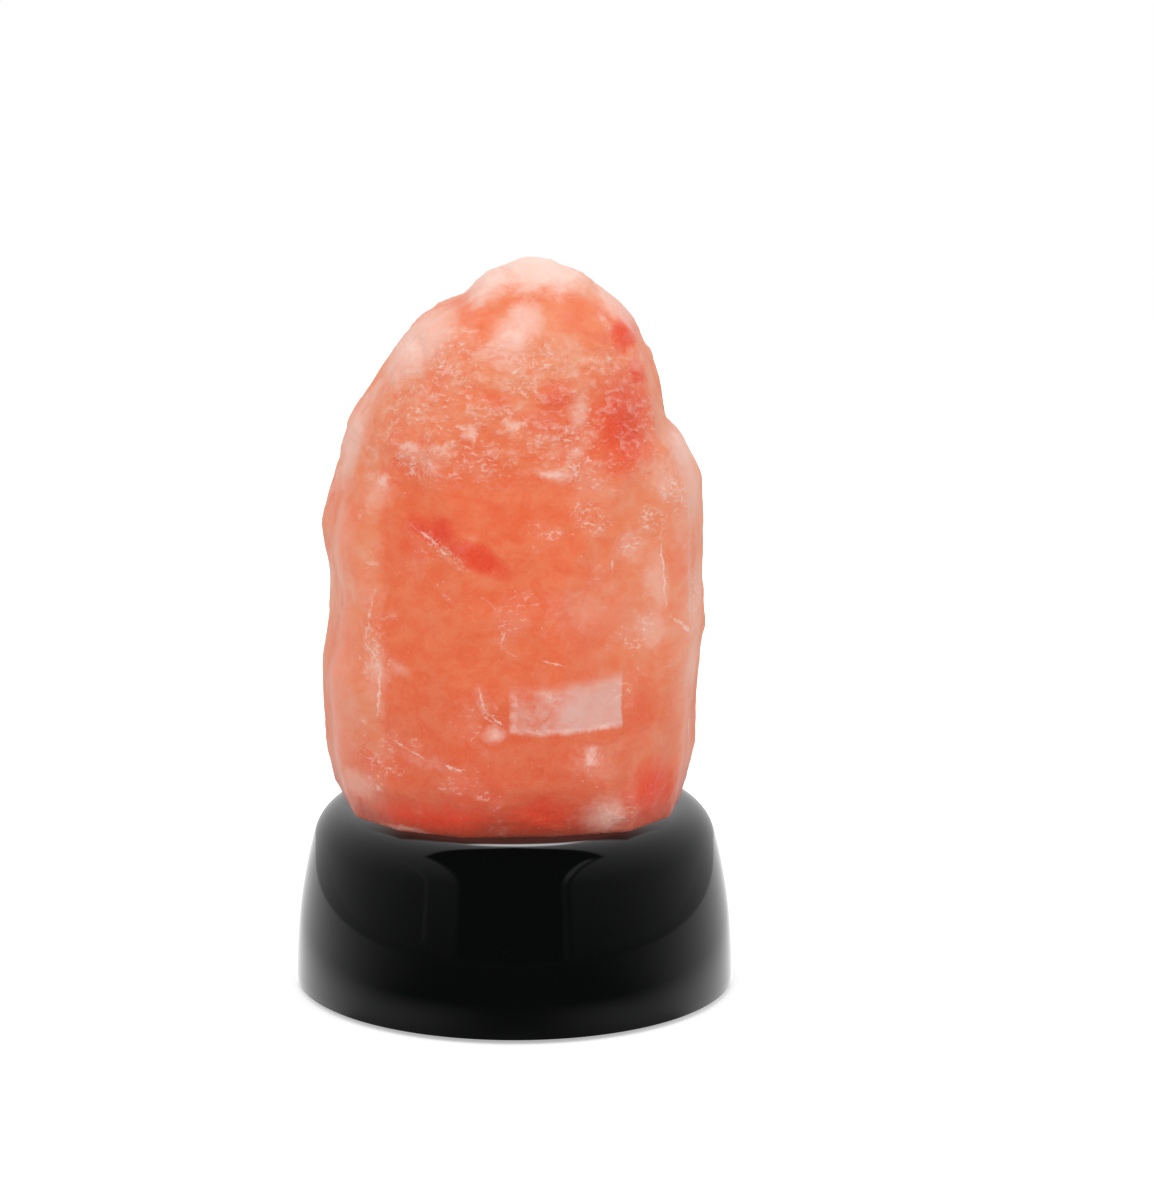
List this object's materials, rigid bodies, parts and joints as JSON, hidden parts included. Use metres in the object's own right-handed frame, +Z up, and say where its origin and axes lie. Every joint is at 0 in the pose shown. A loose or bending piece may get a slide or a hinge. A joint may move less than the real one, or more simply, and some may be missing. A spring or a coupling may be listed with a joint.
{
  "type": "salt crystal lamp",
  "caption": "Small rock-salt lamp: a rough domed crystal on a round moulded base with a lit dome inside, a rear power socket and a push button.",
  "frame": {"origin": "on the table, under the middle of the round base", "axes": "+Z up; the front faces -Y and the socket and button face +Y; +X to the right seen from the front"},
  "size_m": [0.08, 0.08, 0.1349],
  "materials": {
    "salt": "rough, cloudy, faintly see-through",
    "foam": "matte adhesive foam",
    "black_gloss": "polished black moulding",
    "black_satin": "fine texture",
    "foot_rubber": "matte",
    "plated_steel": "zinc plated",
    "frosted": "frosted, light diffusing",
    "board_white": "white solder mask",
    "board_green": "green solder mask",
    "emitter": "white body, warm phosphor window",
    "chip_black": "moulded resin",
    "chip_tan": "fired ceramic",
    "switch_plastic": "moulded",
    "pin_metal": "tinned",
    "header_white": "moulded nylon",
    "lead_jacket": "flexible jacket"
  },
  "bodies": {
    "lamp": {"salt_crystal": "salt", "bond_pads": "foam", "base_housing": "black_gloss", "base_plate": "black_satin", "plate_screws": "plated_steel", "foot_rear_right": "foot_rubber", "foot_rear_left": "foot_rubber", "foot_front_left": "foot_rubber", "foot_front_right": "foot_rubber", "light_dome": "frosted", "light_board": "board_white", "light_emitters": "emitter", "light_resistors": "chip_tan", "light_board_screws": "plated_steel", "control_board": "board_green", "control_board_screws": "plated_steel", "driver_chip": "chip_black", "control_capacitors": "chip_tan", "power_socket_shell": "plated_steel", "power_socket_tongue": "chip_black", "switch_body": "switch_plastic", "switch_pins": "pin_metal", "lead_header": "header_white", "lead_plug": "header_white", "light_lead": "lead_jacket"},
    "button": {"button_cap": "black_gloss", "switch_plunger": "header_white"}
  },
  "joints": [
    {"name": "button_press", "type": "slide", "parent": "lamp", "child": "button", "axis": [0, -1, 0], "range_m": [0, 0.0016], "stiffness_N_per_m": 400, "springref_m": -0.002}
  ]
}
